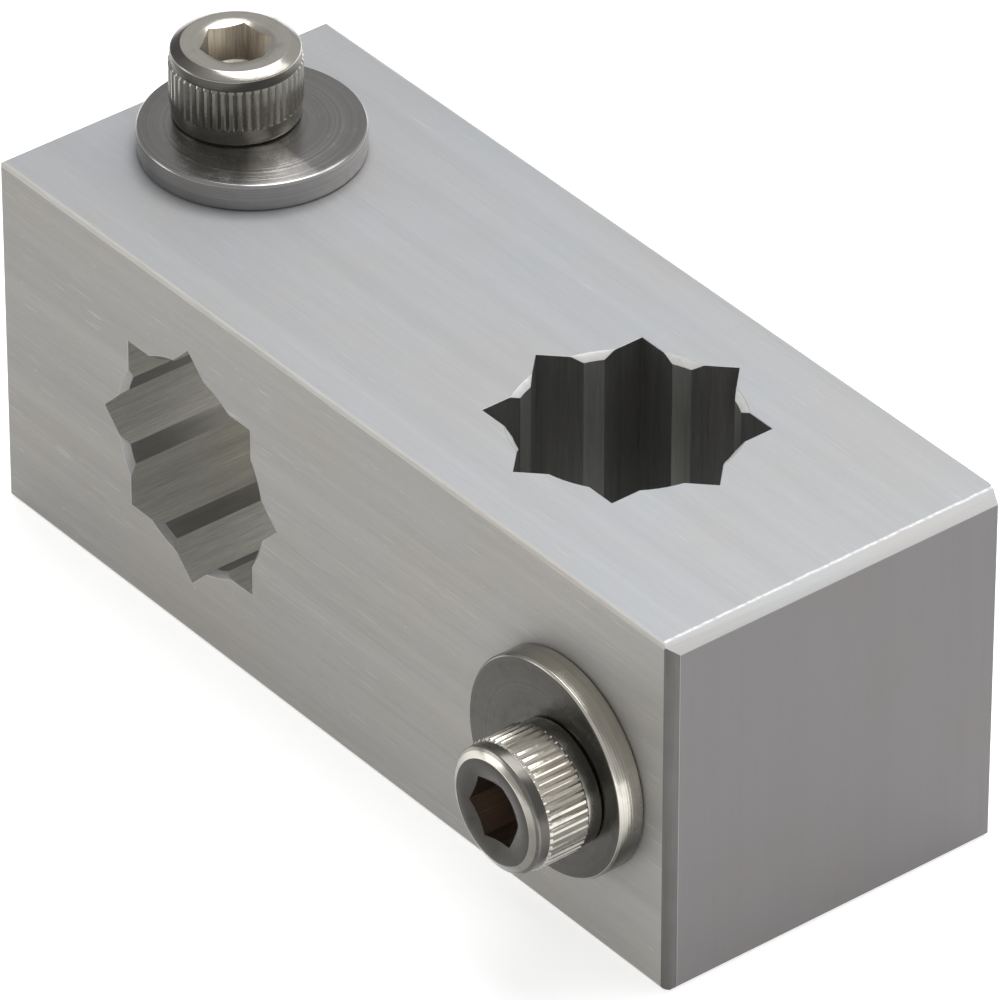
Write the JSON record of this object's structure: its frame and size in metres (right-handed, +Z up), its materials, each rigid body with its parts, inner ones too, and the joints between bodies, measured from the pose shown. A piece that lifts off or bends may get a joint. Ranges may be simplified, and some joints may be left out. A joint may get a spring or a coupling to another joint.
{
  "type": "sensor bracket",
  "caption": "Solid aluminium bracket block that crosses a bar held front to back with an upright bar, each in a star-shaped bore with its own screw clamp.",
  "frame": {"origin": "middle of the block's underside", "axes": "+X along the block's length from the front-to-back bore to the upright bore, +Y to the back, +Z up, out of the face with the standing screw"},
  "size_m": [0.0652, 0.0323, 0.032],
  "materials": {
    "block_aluminium": "fine brushed, machined",
    "washer_steel": "finely turned stainless steel",
    "screw_steel": "bright stainless steel, knurled head",
    "cotter_steel": "turned stainless steel"
  },
  "bodies": {
    "block": {"bracket_block": "block_aluminium", "top_washer": "washer_steel", "front_washer": "washer_steel"},
    "top_screw_body": {"top_screw": "screw_steel"},
    "top_cotter_body": {"top_cotter": "cotter_steel"},
    "front_screw_body": {"front_screw": "screw_steel"},
    "front_cotter_body": {"front_cotter": "cotter_steel"}
  },
  "joints": [
    {"name": "top_screw_turn", "type": "hinge", "parent": "block", "child": "top_screw_body", "pos_m": [-0.02562, 0.0004, 0.02685], "axis": [0, 0, -1], "range_deg": [0, 450]},
    {"name": "top_cotter_draw", "type": "slide", "parent": "block", "child": "top_cotter_body", "axis": [0, 0, 1], "range_m": [0, 0.001]},
    {"name": "front_screw_turn", "type": "hinge", "parent": "block", "child": "front_screw_body", "pos_m": [0.02475, -0.01455, 0.01205], "axis": [0, 1, 0], "range_deg": [0, 450]},
    {"name": "front_cotter_draw", "type": "slide", "parent": "block", "child": "front_cotter_body", "axis": [0, -1, 0], "range_m": [0, 0.001]}
  ],
  "couplings": [
    {"joint": "top_screw_turn", "follows": "top_cotter_draw", "rad_per_m": 7854},
    {"joint": "front_screw_turn", "follows": "front_cotter_draw", "rad_per_m": 7854}
  ]
}
